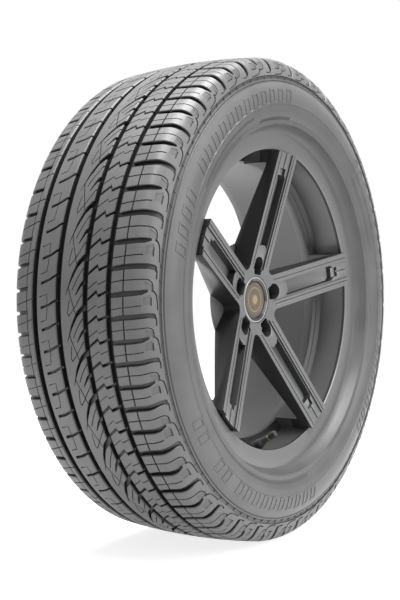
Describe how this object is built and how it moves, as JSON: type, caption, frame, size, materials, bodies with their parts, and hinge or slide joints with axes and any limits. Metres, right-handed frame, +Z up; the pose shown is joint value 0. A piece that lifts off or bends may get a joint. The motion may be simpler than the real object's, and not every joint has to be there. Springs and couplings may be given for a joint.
{
  "type": "car tyre on alloy wheel",
  "caption": "Low-profile road tyre with an asymmetric block tread, mounted on a spoked alloy wheel with a centre cap and a snap-in valve.",
  "frame": {"origin": "centre of the hub bore on the face that meets the hub", "axes": "+Y along the axle, from the outboard face towards the car; +Z up; +X across, level with the ground. The tyre stands on its small flat at the lowest Z"},
  "size_m": [0.7376, 0.2534, 0.7358],
  "materials": {
    "tyre": "matt black tread rubber with a light dusty bloom on the shoulder",
    "wheel_paint": "dark silver metallic paint under clear coat on cast aluminium",
    "cap_plastic": "dark gloss plastic with a bright rim",
    "badge_metal": "dull brown-gold disc with plain rings",
    "spring_wire": "bare spring wire",
    "valve_rubber": "smooth black rubber",
    "valve_brass": "machined brass",
    "valve_cap_plastic": "black ribbed plastic"
  },
  "bodies": {
    "root": {"tyre": "tyre", "alloy_wheel": "wheel_paint", "centre_cap": "cap_plastic", "cap_badge": "badge_metal", "cap_spring_ring": "spring_wire", "valve_body": "valve_rubber", "valve_tube": "valve_brass", "valve_core": "valve_brass", "valve_cap": "valve_cap_plastic"}
  },
  "joints": []
}
